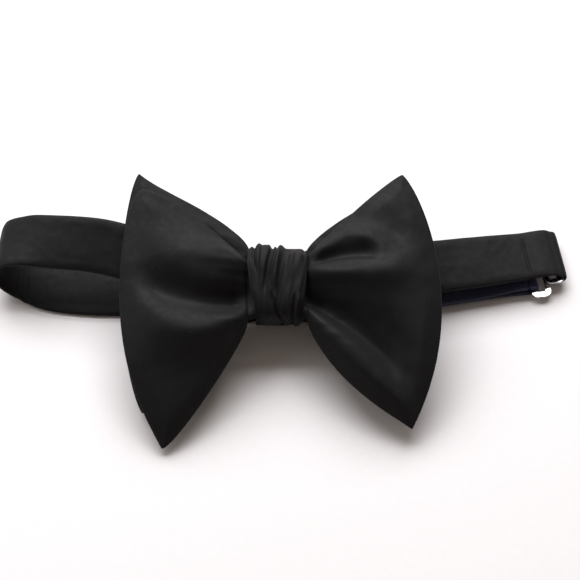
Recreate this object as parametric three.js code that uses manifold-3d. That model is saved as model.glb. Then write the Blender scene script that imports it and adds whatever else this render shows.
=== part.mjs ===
// A black butterfly bow tie lying on a table, its neckband closed into a loop behind it.
// Millimetres, +Z up: +X runs along the bow, +Y from the bow's lower corners to its upper ones,
// and the table is at the lowest point. The bow leans back on the band; the band's lower run,
// the adjusting ribbon, the slider and the hook and eye lie on the table below it.

import * as THREE from 'three';
import { mergeVertices } from 'three/addons/utils/BufferGeometryUtils.js';
import Module from 'manifold-3d';

const wasm = await Module();
wasm.setup();

// ---- driving dimensions -------------------------------------------------------------------

const gap = 0.3; // clearance between pieces that touch on the real tie

// bow: two sewn panels, one on the other, pinched at the waist
const bowLean = 14; // degrees
const bowCentreY = -10.1;
const panelWall = 0.8;
const panelLining = 0.7;
const seamShare = { along: 0.03, across: 0.09 }; // how much of the panel its seams take up
const panelSpacing = 0.95; // from each panel's face to the middle of the knot, at the waist
const waistRun = 11; // how far the waist reaches out of the knot's middle
const waistShare = 0.2; // share of each half of the panel that lies in the knot
const turningSlit = { length: 7, height: 2.4 };

// topX, middleX and lowX: how far a wing's outer edge stands from the knot's middle.
// topV and lowV: how far its corners reach above and below it.
// droop: how far its lower corner falls towards the table.
const frontPanel = {
  left: { topX: 44.2, middleX: 53.4, lowX: 38.4, topV: 36.0, lowV: -55.0, droop: 7 },
  right: { topX: 43.0, middleX: 55.0, lowX: 44.9, topV: 39.5, lowV: -48.5, droop: 5 },
  side: 1,
  lift: 3.0, // rise of the outer edge over the waist
  crown: 3.6, // extra rise in the middle of a wing
};
const rearPanel = {
  left: { topX: 48.0, middleX: 51.5, lowX: 45.5, topV: 41.8, lowV: -44.5, droop: 5 },
  right: { topX: 39.5, middleX: 52.0, lowX: 33.5, topV: 35.5, lowV: -49.5, droop: 4.4 },
  side: -1,
  lift: 3.6,
  crown: 1.2,
};

// knot: a wrap over its lining, round the threads that bind the two waists
const knot = { length: 20.4, height: 27.5, corner: 5, roomAcross: 1.1, roomThrough: 1.05 };
const wrapWall = 0.8;
const knotLiningWall = 0.6;
const binding = { length: 6, wall: 0.7 };
const keeper = { length: 15, wall: 0.9, side: 1.6, play: 0.4, offset: 2, clearance: 1.07 };
const keeperTack = { length: 10, height: 1, depth: 3 };

// neckband: a flat sewn tube over a strip of lining, hemmed round the eye
const bandWidth = 19.4;
const bandWall = 0.45;
const bandLining = 0.4;
const hemThickness = 1.0;
const ribbonWidth = 19.0;
const ribbonThickness = 0.9;
const ribbonStart = { x: 24, y: -4.5 }; // where the band's lower run hands over to the ribbon
const ribbonLap = 8; // how far the ribbon lies on the band's end

// hook and eye: closure is the middle of the hook bar that the ribbon goes round
const closure = { x: 89.3, y: 7.2, z: 2.3, turn: 8 };
const hook = { body: 1.8, bar: 1.7, slot: 3.5, end: 1.9, play: 0.6, thickness: 0.9, corner: 2.4 };
const tongue = { width: 8, thickness: 0.9, opening: 1.9, reach: 1.7 };
const eye = { length: 6.6, width: 22, bar: 1.4, end: 1.9, thickness: 0.9, corner: 2, offset: 3.1 };
const slider = { length: 11, bar: 1.7, end: 1.8, play: 0.7, thickness: 1, wire: 1.2, place: 15 };
const stitch = { width: 1.3, height: 0.4, length: 14 };

// ---- what follows from them ---------------------------------------------------------------

const panelThickness = 2 * panelWall + 2 * gap + panelLining;
const bandThickness = 2 * bandWall + 2 * gap + bandLining;
const lean = THREE.MathUtils.degToRad(bowLean);
const knotWall = wrapWall + gap + knotLiningWall;
const bindingHeight = knot.height - 2 * (knotWall + knot.roomAcross);
const waistHalfHeight = bindingHeight / 2 - binding.wall - 2 * gap;
const waistOffset = panelSpacing + panelThickness / 2;
const bindingDepth = 2 * (waistOffset + panelThickness / 2 + gap + binding.wall);
const knotDepth = bindingDepth + 2 * (knotWall + knot.roomThrough);
const keeperHeight = bandThickness + 2 * (keeper.play + keeper.wall);
const keeperDrop = knotDepth / 2 + gap + keeperHeight / 2;
const keeperAcross = bandWidth + 2 * (keeper.play + keeper.side);
const hookWrapRadius = Math.hypot(hook.bar, hook.thickness) / 2 + gap + ribbonThickness / 2;
const eyeWrapRadius = Math.hypot(eye.bar, eye.thickness) / 2 + gap + hemThickness / 2;
const sliderWrapRadius = slider.wire / 2 + gap + ribbonThickness / 2;
const tongueRadius = tongue.opening / 2;
const eyeHeight = closure.z - hook.thickness / 2 + tongue.thickness + tongueRadius;
const eyeLeft = hook.bar / 2 + hook.slot + 0.4;
const eyeBarX = eyeLeft + eye.length - eye.bar / 2;
const sliderFloor = 0.15;
const ribbonRunZ = sliderFloor + slider.thickness + gap + ribbonThickness / 2;
const returnRunZ = ribbonRunZ + ribbonThickness + gap;
const wireZ = returnRunZ + sliderWrapRadius;
const bandRunZ = bandThickness / 2 + 0.05;
// The keeper's lower edge clears the band's lower run, which sets the bow's height.
const keeperReach = (keeperDrop + keeperHeight / 2) * Math.cos(lean);
const keeperDip = (keeperAcross / 2 - keeper.offset) * Math.sin(lean);
const bowCentreZ = bandRunZ + bandThickness / 2 + keeper.clearance + keeperReach + keeperDip;
const hookLength = hook.bar + hook.slot + hook.body;
const hookWidth = ribbonWidth + 2 * (hook.end + hook.play);
const sliderWidth = ribbonWidth + 2 * (slider.end + slider.play);

// ---- materials ----------------------------------------------------------------------------

function material(color, roughness, metalness = 0) {
  return new THREE.MeshStandardMaterial({ color, roughness, metalness });
}
const satin = material(0x1b1a1c, 0.55);
const lining = material(0xe4dfd2, 0.95);
const navyRibbon = material(0x1c2236, 0.7);
const nickel = material(0x9a9aa2, 0.25, 1);
const thread = material(0x141416, 0.8);

// ---- helpers ------------------------------------------------------------------------------

const tie = new THREE.Group();

function addPiece(name, geometry, finish, parent = tie) {
  const mesh = new THREE.Mesh(geometry, finish);
  mesh.name = name;
  parent.add(mesh);
  return mesh;
}

function toSolid(geometry) {
  const bare = geometry.clone();
  bare.deleteAttribute('normal');
  bare.deleteAttribute('uv');
  const merged = mergeVertices(bare, 1e-5);
  return new wasm.Manifold(new wasm.Mesh({
    numProp: 3,
    vertProperties: new Float32Array(merged.getAttribute('position').array),
    triVerts: new Uint32Array(merged.getIndex().array),
  }));
}

function toGeometry(solid) {
  const mesh = solid.getMesh();
  const geometry = new THREE.BufferGeometry();
  geometry.setAttribute('position', new THREE.BufferAttribute(mesh.vertProperties, 3));
  geometry.setIndex(new THREE.BufferAttribute(mesh.triVerts, 1));
  geometry.computeVertexNormals();
  return geometry;
}

// A slab whose points are moved by place(along, across, through, point): along runs from 0 to 1,
// across and through from -1 to 1.
function formedSlab(stepsAlong, stepsAcross, place) {
  const slab = new THREE.BoxGeometry(1, 1, 1, stepsAlong, stepsAcross, 1);
  const position = slab.getAttribute('position');
  const point = new THREE.Vector3();
  for (let i = 0; i < position.count; i += 1) {
    place(position.getX(i) + 0.5, 2 * position.getY(i), 2 * position.getZ(i), point);
    position.setXYZ(i, point.x, point.y, point.z);
  }
  slab.computeVertexNormals();
  return slab;
}

function roundedRectangle(width, height, radius) {
  const x = width / 2;
  const y = height / 2;
  const outline = new THREE.Shape();
  outline.moveTo(-x + radius, -y);
  outline.lineTo(x - radius, -y);
  outline.absarc(x - radius, -y + radius, radius, -Math.PI / 2, 0);
  outline.lineTo(x, y - radius);
  outline.absarc(x - radius, y - radius, radius, 0, Math.PI / 2);
  outline.lineTo(-x + radius, y);
  outline.absarc(-x + radius, y - radius, radius, Math.PI / 2, Math.PI);
  outline.lineTo(-x, -y + radius);
  outline.absarc(-x + radius, -y + radius, radius, Math.PI, 1.5 * Math.PI);
  return outline;
}

// An outline drawn in X and Y, given its thickness evenly about Z = 0.
function plate(outline, thickness, curveSegments = 5) {
  const solid = new THREE.ExtrudeGeometry(outline, { depth: thickness, bevelEnabled: false, curveSegments });
  solid.translate(0, 0, -thickness / 2);
  return solid;
}

// A ring round the bow's waist: its outline stands in the plane across the bow.
function waistRing(length, height, depth, wall, corner) {
  const outline = roundedRectangle(height, depth, corner);
  outline.holes.push(roundedRectangle(height - 2 * wall, depth - 2 * wall, Math.max(corner - wall, 0.4)));
  const ring = plate(outline, length);
  ring.rotateX(Math.PI / 2);
  ring.rotateZ(Math.PI / 2);
  return ring;
}

// ---- bow ----------------------------------------------------------------------------------

const bow = new THREE.Group();
bow.position.set(0, bowCentreY, bowCentreZ);
bow.rotation.x = lean;
tie.add(bow);

// a runs from -1 at the left edge to 1 at the right edge, q from -1 at the lower edge to 1.
function panelPoint(panel, a, q, rise, point) {
  const wing = a < 0 ? panel.left : panel.right;
  const out = Math.max(0, (Math.abs(a) - waistShare) / (1 - waistShare));
  const cornerX = q > 0 ? wing.topX : wing.lowX;
  const edgeX = THREE.MathUtils.lerp(wing.middleX, cornerX, q * q);
  const inKnot = Math.min(Math.abs(a), waistShare) / waistShare;
  const x = waistRun * inKnot + (edgeX - waistRun) * out;
  const halfHeight = THREE.MathUtils.lerp(waistHalfHeight, (wing.topV - wing.lowV) / 2, out);
  const droop = q < 0 ? wing.droop * q * q * out * out : 0;
  const crown = panel.crown * Math.sin(Math.PI * out) * (1 - q * q);
  point.set(
    Math.sign(a) * x,
    out * (wing.topV + wing.lowV) / 2 + q * halfHeight,
    panel.side * waistOffset + panel.lift * out + crown - droop + rise,
  );
}

function panelSlab(panel, thickness, shareAlong, shareAcross) {
  return formedSlab(20, 6, (along, across, through, point) => {
    const a = (2 * along - 1) * (1 - shareAlong);
    panelPoint(panel, a, across * (1 - shareAcross), through * thickness / 2, point);
  });
}

function sewnPanel(panel) {
  const hollow = panelLining + 2 * gap;
  const slit = new THREE.BoxGeometry(turningSlit.length, turningSlit.height, panelThickness);
  slit.translate(0, 0, panel.side * waistOffset - panelThickness / 2);
  const cover = toSolid(panelSlab(panel, panelThickness, 0, 0))
    .subtract(toSolid(panelSlab(panel, hollow, seamShare.along, seamShare.across)))
    .subtract(toSolid(slit));
  return {
    cover: toGeometry(cover),
    lining: panelSlab(panel, panelLining, 1.5 * seamShare.along, 1.4 * seamShare.across),
  };
}

const frontBow = sewnPanel(frontPanel);
addPiece('front_bow_cover', frontBow.cover, satin, bow);
addPiece('front_bow_interlining', frontBow.lining, lining, bow);
const rearBow = sewnPanel(rearPanel);
addPiece('rear_bow_cover', rearBow.cover, satin, bow);
addPiece('rear_bow_interlining', rearBow.lining, lining, bow);

// ---- knot ---------------------------------------------------------------------------------

const bindingRing = waistRing(binding.length, bindingHeight, bindingDepth, binding.wall, 1.2);
addPiece('waist_binding', bindingRing, thread, bow);

const knotWrap = waistRing(knot.length, knot.height, knotDepth, wrapWall, knot.corner);
addPiece('knot_wrap', knotWrap, satin, bow);
const liningInset = 2 * (wrapWall + gap);
addPiece('knot_interlining', waistRing(
  knot.length - 1,
  knot.height - liningInset,
  knotDepth - liningInset,
  knotLiningWall,
  knot.corner - wrapWall - gap,
), lining, bow);

const keeperOutline = roundedRectangle(keeperAcross, keeperHeight, 1);
keeperOutline.holes.push(roundedRectangle(
  bandWidth + 2 * keeper.play,
  bandThickness + 2 * keeper.play,
  0.4,
));
const keeperLoop = plate(keeperOutline, keeper.length);
keeperLoop.rotateX(Math.PI / 2);
keeperLoop.rotateZ(Math.PI / 2);
keeperLoop.translate(0, keeper.offset, -keeperDrop);
addPiece('band_keeper', keeperLoop, satin, bow);

for (const [name, side] of [['keeper_tack_upper', 1], ['keeper_tack_lower', -1]]) {
  const tack = new THREE.BoxGeometry(keeperTack.length, keeperTack.height, keeperTack.depth);
  const across = keeper.offset + side * (keeperAcross / 2 + gap + keeperTack.height / 2);
  tack.translate(0, across, -knotDepth / 2 - gap - keeperTack.depth / 2);
  addPiece(name, tack, thread, bow);
}

// ---- routes of the band and the ribbon ----------------------------------------------------

// Each stop of a route is a point on the strip's middle and the direction across the strip.
function stop(x, y, z, acrossX = 0, acrossZ = 0) {
  return { point: new THREE.Vector3(x, y, z), across: new THREE.Vector3(acrossX, 1, acrossZ) };
}

function bowStop(x, up, rise) {
  const y = bowCentreY + up * Math.cos(lean) - rise * Math.sin(lean);
  const z = bowCentreZ + up * Math.sin(lean) + rise * Math.cos(lean);
  return stop(x, y, z, 0, Math.tan(lean));
}

const closureTurn = THREE.MathUtils.degToRad(closure.turn);
const closureAcross = -Math.tan(closureTurn);

function closureStop(x, y, z) {
  return stop(
    closure.x + x * Math.cos(closureTurn) - y * Math.sin(closureTurn),
    closure.y + x * Math.sin(closureTurn) + y * Math.cos(closureTurn),
    z,
    closureAcross,
  );
}

const ribbonRun = new THREE.Vector2(closure.x - ribbonStart.x, closure.y - ribbonStart.y);
const ribbonLength = ribbonRun.length();
const ribbonTurn = ribbonRun.angle();

function ribbonStop(distance, z) {
  return stop(
    ribbonStart.x + distance * Math.cos(ribbonTurn),
    ribbonStart.y + distance * Math.sin(ribbonTurn),
    z,
    -Math.tan(ribbonTurn),
  );
}

// A strip of cloth along a route; halfThickness may change along it.
function strip(stops, from, to, width, halfThickness) {
  const curve = new THREE.CatmullRomCurve3(stops.map((s) => s.point), false, 'centripetal');
  const steps = Math.round(3 * (stops.length - 1) * (to - from));
  const tangent = new THREE.Vector3();
  const across = new THREE.Vector3();
  const normal = new THREE.Vector3();
  return formedSlab(steps, 1, (along, side, through, point) => {
    const t = THREE.MathUtils.lerp(from, to, along);
    const place = t * (stops.length - 1);
    const first = Math.min(Math.floor(place), stops.length - 2);
    across.copy(stops[first].across).lerp(stops[first + 1].across, place - first);
    curve.getTangent(t, tangent);
    across.addScaledVector(tangent, -across.dot(tangent)).normalize();
    normal.crossVectors(tangent, across);
    curve.getPoint(t, point);
    point.addScaledVector(across, side * width / 2);
    point.addScaledVector(normal, through * halfThickness(t));
  });
}

function aroundBar(centreX, centreY, centreZ, radius, angles) {
  return angles.map((degrees) => {
    const angle = THREE.MathUtils.degToRad(degrees);
    return closureStop(centreX + radius * Math.cos(angle), centreY, centreZ + radius * Math.sin(angle));
  });
}

// ---- neckband -----------------------------------------------------------------------------

// From its hem under the eye's bar, over the closure, through the keeper, round the roll at the
// left and back along the table to the ribbon.
const bandStops = [
  closureStop(eyeBarX - 1.3, eye.offset, eyeHeight - eyeWrapRadius),
  ...aroundBar(eyeBarX, eye.offset, eyeHeight, eyeWrapRadius, [-90, -45, 0, 45, 90]),
  closureStop(eyeBarX - 2.6, eye.offset, 6.9),
  closureStop(-1, eye.offset - 0.4, 7.3),
  stop(72, 6.4, 9.0, -0.14, 0.14),
  stop(54, 3.2, 10.2, -0.17, 0.25),
  stop(38, 0.6, 10.9, -0.2, 0.27),
  stop(22, -2.8, 10.4, -0.24, 0.24),
  bowStop(11, keeper.offset, -keeperDrop),
  bowStop(5, keeper.offset, -keeperDrop),
  bowStop(-5, keeper.offset, -keeperDrop),
  bowStop(-11, keeper.offset, -keeperDrop),
  stop(-24, -3.0, 10.8, 0.2, 0.28),
  stop(-42, 2.6, 14.4, 0.16, 0.36),
  stop(-62, 7.4, 17.4, 0.1, 0.42),
  stop(-80, 8.8, 18.2, 0.14, 0.3),
  stop(-89, 9.6, 17.4, 0.2, 0.16),
  stop(-95, 10.0, 14.2, 0.24, 0.06),
  stop(-97, 9.6, 9.6, 0.24),
  stop(-94.5, 7.0, 4.8, 0.24),
  stop(-88, 3.8, 1.9, 0.24),
  stop(-79, 0.4, bandRunZ, 0.2),
  stop(-67, -1.2, bandRunZ, 0.1),
  stop(-48, -1.6, bandRunZ, 0.03),
  stop(-24, -1.8, bandRunZ, 0.0),
  stop(0, -2.3, bandRunZ, 0.0),
  ribbonStop(-gap, bandRunZ),
  ribbonStop(10, bandRunZ), // past the band's end, so that its hollow is open there
];
const hemEnd = 6 / (bandStops.length - 1); // the lining and the hollow start past the hem
const bandEnd = 1 - 1 / (bandStops.length - 1);

function bandHalf(t) {
  const full = THREE.MathUtils.smoothstep(t, hemEnd, 1.35 * hemEnd);
  return THREE.MathUtils.lerp(hemThickness, bandThickness, full) / 2;
}
const hollowWidth = bandWidth - 2 * bandWall;
const bandOuter = strip(bandStops, 0, bandEnd, bandWidth, bandHalf);
const bandHollow = strip(bandStops, 1.4 * hemEnd, bandEnd + 0.01, hollowWidth, () => bandLining / 2 + gap);
addPiece('neckband_cover', toGeometry(toSolid(bandOuter).subtract(toSolid(bandHollow))), satin);
const liningWidth = hollowWidth - 2 * gap;
addPiece(
  'neckband_interlining',
  strip(bandStops, 1.45 * hemEnd, bandEnd - 0.002, liningWidth, () => bandLining / 2),
  lining,
);


// A row of stitches lying on the band or ribbon, drawn as one low bar across it.
function stitchRow(name, centre, rise) {
  const bar = new THREE.BoxGeometry(stitch.width, stitch.length, stitch.height);
  const row = addPiece(name, bar, thread);
  row.position.copy(centre.point);
  row.position.z += rise + gap + stitch.height / 2;
  row.rotation.z = Math.atan2(-centre.across.x, 1);
  return row;
}
stitchRow('hem_stitches', closureStop(-1, eye.offset - 0.4, 7.3), bandThickness / 2 + 0.1);

// ---- adjusting ribbon ---------------------------------------------------------------------

// The lower run starts on the band's end, passes through the slider and goes round the hook's bar.
const ribbonHalf = () => ribbonThickness / 2;
const lapZ = bandRunZ + (bandThickness + ribbonThickness) / 2 + gap;
const ribbonStops = [
  ribbonStop(-ribbonLap, lapZ),
  ribbonStop(-0.4 * ribbonLap, lapZ),
  ribbonStop(3, lapZ - 0.2),
  ribbonStop(8, ribbonRunZ),
  ribbonStop(24, ribbonRunZ),
  ribbonStop(44, ribbonRunZ),
  ribbonStop(ribbonLength - 14, ribbonRunZ - 0.2),
  closureStop(-5, 0, 0.9),
  ...aroundBar(0, 0, closure.z, hookWrapRadius, [-90, -45, 0, 45, 90]),
  closureStop(-1.6, 0, closure.z + hookWrapRadius),
];
addPiece('adjuster_ribbon', strip(ribbonStops, 0, 1, ribbonWidth, ribbonHalf), navyRibbon);

// The return run comes back over it to the slider, and its end is sewn round the slider's wire.
const wireWrap = [-90, -135, 180, 135, 90].map((degrees) => {
  const angle = THREE.MathUtils.degToRad(degrees);
  const along = slider.place + sliderWrapRadius * Math.cos(angle);
  return ribbonStop(along, wireZ + sliderWrapRadius * Math.sin(angle));
});
const sewnEnd = 7; // length of the end that lies under the return run
const aboveSewnEnd = returnRunZ + ribbonThickness + gap;
const returnStops = [
  ribbonStop(slider.place + sewnEnd, returnRunZ),
  ribbonStop(slider.place + 0.5 * sewnEnd, returnRunZ),
  ...wireWrap,
  ribbonStop(slider.place + 3, aboveSewnEnd + 0.9),
  ribbonStop(slider.place + sewnEnd, aboveSewnEnd + 0.2),
  ribbonStop(slider.place + sewnEnd + 4, aboveSewnEnd - 0.8),
  ribbonStop(slider.place + sewnEnd + 9, returnRunZ + 0.1),
  ribbonStop(ribbonLength - 18, returnRunZ),
  closureStop(-9, 0, returnRunZ + 0.4),
  closureStop(-4, 0, closure.z + hookWrapRadius),
  closureStop(-1.6 - gap, 0, closure.z + hookWrapRadius),
];
addPiece('ribbon_return', strip(returnStops, 0, 1, ribbonWidth, ribbonHalf), navyRibbon);

stitchRow('lap_stitches', ribbonStop(-0.6 * ribbonLap, lapZ), ribbonThickness / 2);
stitchRow('slider_stitches', ribbonStop(slider.place + 4.4, aboveSewnEnd + 0.75), ribbonThickness / 2);

// ---- slider, hook and eye -----------------------------------------------------------------

const sliderOutline = roundedRectangle(slider.length, sliderWidth, 2.4);
sliderOutline.holes.push(roundedRectangle(
  slider.length - 2 * slider.bar,
  sliderWidth - 2 * slider.end,
  1,
));
const sliderFrame = plate(sliderOutline, slider.thickness);
sliderFrame.translate(0, 0, sliderFloor + slider.thickness / 2);
const wire = new THREE.CylinderGeometry(slider.wire / 2, slider.wire / 2, sliderWidth - slider.end, 12);
wire.translate(0, 0, wireZ);
let sliderSolid = toSolid(sliderFrame).add(toSolid(wire));
for (const side of [-1, 1]) {
  const postHeight = wireZ + slider.wire / 2 - sliderFloor - 0.2;
  const post = new THREE.BoxGeometry(slider.wire + 1, slider.end, postHeight);
  post.translate(0, side * (sliderWidth - slider.end) / 2, sliderFloor + 0.2 + postHeight / 2);
  sliderSolid = sliderSolid.add(toSolid(post));
}
const sliderPiece = addPiece('slider', toGeometry(sliderSolid), nickel);
sliderPiece.position.copy(ribbonStop(slider.place, 0).point);
sliderPiece.rotation.z = ribbonTurn;

const closureGroup = new THREE.Group();
closureGroup.position.set(closure.x, closure.y, 0);
closureGroup.rotation.z = closureTurn;
tie.add(closureGroup);

const hookOutline = roundedRectangle(hookLength, hookWidth, hook.corner);
const hookSlot = roundedRectangle(hook.slot, hookWidth - 2 * hook.end, 0.8);
const slotShift = hook.bar + hook.slot / 2 - hookLength / 2;
const slotPoints = hookSlot.getPoints(4).map((p) => new THREE.Vector2(p.x + slotShift, p.y));
hookOutline.holes.push(new THREE.Path(slotPoints));
const hookPlate = plate(hookOutline, hook.thickness);
hookPlate.translate(hookLength / 2 - hook.bar / 2, 0, closure.z);

// The tongue: a J that leaves the plate, passes under the eye's bar and curls back over it.
const plateEdge = hookLength - hook.bar / 2;
const plateTop = closure.z + hook.thickness / 2;
const plateFloor = plateTop - tongue.thickness;
const outerRadius = tongueRadius + tongue.thickness;
const curlZ = plateTop + tongueRadius;
const tongueOutline = new THREE.Shape();
tongueOutline.moveTo(plateEdge - 0.8, plateFloor);
tongueOutline.lineTo(plateEdge - 0.1, plateFloor);
tongueOutline.absarc(plateEdge - 0.1, curlZ, outerRadius, -Math.PI / 2, Math.PI / 2);
tongueOutline.lineTo(plateEdge - 0.1 - tongue.reach, curlZ + outerRadius);
tongueOutline.lineTo(plateEdge - 0.1 - tongue.reach, curlZ + tongueRadius);
tongueOutline.lineTo(plateEdge - 0.1, curlZ + tongueRadius);
tongueOutline.absarc(plateEdge - 0.1, curlZ, tongueRadius, Math.PI / 2, -Math.PI / 2, true);
tongueOutline.lineTo(plateEdge - 0.8, plateTop);
const tongueSolid = plate(tongueOutline, tongue.width, 8);
tongueSolid.rotateX(Math.PI / 2);
addPiece('hook', toGeometry(toSolid(hookPlate).add(toSolid(tongueSolid))), nickel, closureGroup);

const eyeOutline = roundedRectangle(eye.length, eye.width, eye.corner);
eyeOutline.holes.push(roundedRectangle(eye.length - 2 * eye.bar, eye.width - 2 * eye.end, 0.8));
const eyePlate = plate(eyeOutline, eye.thickness);
eyePlate.translate(eyeLeft + eye.length / 2, eye.offset, eyeHeight);
addPiece('eye', eyePlate, nickel, closureGroup);

// ---- origin: the middle of the tie, on the table --------------------------------------------

const whole = new THREE.Box3().setFromObject(tie, true);
const middle = whole.getCenter(new THREE.Vector3());
tie.position.set(-middle.x, -middle.y, -whole.min.z);

const group = new THREE.Group();
group.add(tie);
export default group;
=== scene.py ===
import math
import bmesh
import bpy
from mathutils import Matrix, Vector, noise


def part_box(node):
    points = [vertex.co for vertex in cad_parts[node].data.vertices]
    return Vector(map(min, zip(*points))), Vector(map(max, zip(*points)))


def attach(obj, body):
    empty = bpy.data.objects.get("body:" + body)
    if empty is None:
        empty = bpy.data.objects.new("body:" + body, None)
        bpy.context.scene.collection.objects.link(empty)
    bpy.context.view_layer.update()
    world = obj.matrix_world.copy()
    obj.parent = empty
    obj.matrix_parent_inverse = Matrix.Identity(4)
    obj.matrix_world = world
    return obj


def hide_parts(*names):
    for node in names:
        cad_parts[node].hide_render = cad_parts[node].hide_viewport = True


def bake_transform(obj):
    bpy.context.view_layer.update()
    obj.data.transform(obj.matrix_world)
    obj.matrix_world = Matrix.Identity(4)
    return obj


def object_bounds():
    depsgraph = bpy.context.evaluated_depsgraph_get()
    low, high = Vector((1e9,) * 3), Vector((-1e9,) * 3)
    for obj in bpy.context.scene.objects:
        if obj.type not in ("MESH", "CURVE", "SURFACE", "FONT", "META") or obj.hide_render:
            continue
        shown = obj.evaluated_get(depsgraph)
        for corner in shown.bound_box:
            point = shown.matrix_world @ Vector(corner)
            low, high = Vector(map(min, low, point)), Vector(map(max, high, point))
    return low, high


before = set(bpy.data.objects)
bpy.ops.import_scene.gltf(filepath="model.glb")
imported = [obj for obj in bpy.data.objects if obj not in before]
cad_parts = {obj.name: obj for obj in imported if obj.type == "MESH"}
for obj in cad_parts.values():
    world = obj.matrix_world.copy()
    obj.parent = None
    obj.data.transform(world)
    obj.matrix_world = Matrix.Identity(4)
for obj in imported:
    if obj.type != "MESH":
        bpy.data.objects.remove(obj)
cadLow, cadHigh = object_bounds()
scene = bpy.context.scene
mm = 0.001
print("tie: frame loaded,", len(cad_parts), "nodes")


def mix(a, b, share):
    return a + (b - a) * share


# 0 at low, 1 at high, smooth between; low may be the larger of the two.
def ease(low, high, value):
    share = min(1, max(0, (value - low) / (high - low)))
    return share * share * (3 - 2 * share)


def hill(distance, width):
    return math.exp(-(distance / width) ** 2)


# Smooth noise, from about -1 to 1.
def grain(x, y, z=0.0):
    return noise.noise(Vector((x, y, z)))


def boxMiddle(node):
    low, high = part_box(node)
    return (Vector(low) + Vector(high)) / 2


# body is None for a piece that is blended between two bodies.
def makePiece(name, bm, finish, body="root", stands=(), smooth=True):
    mesh = bpy.data.meshes.new(name)
    for face in bm.faces:
        face.smooth = smooth
    bm.to_mesh(mesh)
    bm.free()
    mesh.materials.append(finish.material)
    piece = bpy.data.objects.new(name, mesh)
    scene.collection.objects.link(piece)
    if body:
        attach(piece, body)
    if stands:
        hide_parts(*stands)
    return piece


# Two skins of cloth that meet in a rolled edge. place(along, across, side) gives a point in mm:
# along and across run from -1 to 1, side is 1 on the upper skin and -1 on the lower one.
# size is the cloth's length and width in mm, and the shares move rows and columns to the rim.
def clothShell(columns, rows, size, place, edgeShare=0.4, endShare=0.0):
    bm = bmesh.new()
    layer = bm.loops.layers.uv.new("clothMap")
    for side in (1, -1):
        made = bmesh.ops.create_grid(bm, x_segments=columns, y_segments=rows, size=1)["verts"]
        for face in {face for vert in made for face in vert.link_faces}:
            for loop in face.loops:
                x, y = loop.vert.co.xy
                loop[layer].uv = ((x + 1) / 2 * size[0] * mm, (y + 1) / 2 * size[1] * mm)
        for vert in made:
            along, across = vert.co.xy
            across = mix(across, math.sin(across * math.pi / 2), edgeShare)
            along = mix(along, math.sin(along * math.pi / 2), endShare)
            vert.co = place(along, across, side) * mm
    bmesh.ops.remove_doubles(bm, verts=bm.verts, dist=2e-6)
    bmesh.ops.recalc_face_normals(bm, faces=bm.faces)
    return bm


# Half the thickness of a shell at a distance from its edge.
def rolled(distance, half, lip=0.55, lipWidth=4.0):
    inRoll = min(1, max(0, distance) / half)
    roll = math.sqrt(max(0, 1 - (1 - inRoll) ** 2))
    return half * roll * mix(lip, 1, ease(0, lipWidth, distance))


# A shader socket that takes part in sums.
class Value:
    def __init__(self, finish, socket):
        self.finish, self.socket = finish, socket

    def __add__(self, other):
        return self.finish.maths("ADD", self, other)

    def __sub__(self, other):
        return self.finish.maths("SUBTRACT", self, other)

    def __mul__(self, other):
        return self.finish.maths("MULTIPLY", self, other)

    def __pow__(self, other):
        return self.finish.maths("POWER", self, other)

    def __rsub__(self, other):
        return self.finish.maths("SUBTRACT", other, self)

    __radd__ = __add__
    __rmul__ = __mul__


# One material and the nodes that it is made of.
class Finish:
    def __init__(self, name, slotName):
        self.slotName = slotName
        self.material = bpy.data.materials.new(name)
        self.material.use_nodes = True
        self.tree = self.material.node_tree
        self.tree.nodes.clear()

    def node(self, kind, settings, sockets, out=0):
        made = self.tree.nodes.new("ShaderNode" + kind)
        for key, value in settings.items():
            if key == "stops":
                ramp = made.color_ramp
                while len(ramp.elements) < len(value):
                    ramp.elements.new(0.5)
                for element, (position, colour) in zip(ramp.elements, value):
                    element.position, element.color = position, colour
            else:
                setattr(made, key, value)
        for key, value in sockets.items():
            if isinstance(value, Value):
                self.tree.links.new(value.socket, made.inputs[key])
            else:
                made.inputs[key].default_value = value
        return Value(self, made.outputs[out] if made.outputs else None)

    def maths(self, operation, *values):
        return self.node("Math", {"operation": operation}, dict(enumerate(values)))

    def sine(self, value):
        return self.maths("SINE", value)

    def between(self, value, low, high):
        settings = {"interpolation_type": "SMOOTHSTEP"}
        return self.node("MapRange", settings, {"Value": value, "From Min": low, "From Max": high})

    def mixColour(self, factor, first, second):
        return self.node("Mix", {"data_type": "RGBA"}, {0: factor, 6: first, 7: second}, 2)

    def clothPlace(self):
        # along and across the cloth, in mm
        place = self.node("UVMap", {"uv_map": "clothMap"}, {})
        split = self.node("SeparateXYZ", {}, {0: place})
        across = Value(self, split.socket.node.outputs[1])
        return split * 1000, across * 1000

    def objectPlace(self):
        return self.node("TexCoord", {}, {}, 3)

    def noiseAt(self, scale, detail=3.0, roughness=0.5, place=None):
        sockets = {"Vector": place or self.objectPlace(), "Scale": scale, "Detail": detail,
                   "Roughness": roughness}
        return self.node("TexNoise", {}, sockets)

    def bump(self, height, strength, distance):
        return self.node("Bump", {}, {"Height": height, "Strength": strength, "Distance": distance})

    def surface(self, sockets):
        shader = self.node("BsdfPrincipled", {}, sockets)
        self.node("OutputMaterial", {}, {"Surface": shader})


turn = 2 * math.pi


# Black satin: fine floats of warp that step over one thread in each row.
satinLook = {
    "dark": (0.0012, 0.0010, 0.0010, 1),
    "light": (0.0038, 0.0032, 0.0034, 1),
    "dust": (0.060, 0.056, 0.055, 1),
    "threadPitch": 0.24,  # mm
    "floatLength": 1.1,
    "roughness": (0.60, 0.74),
    "sheen": 0.03,
    "sheenRoughness": 0.42,
    "sheenTint": (0.86, 0.84, 0.92, 1),
    "gloss": 0.25,
    "bump": 0.16,
}


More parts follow.
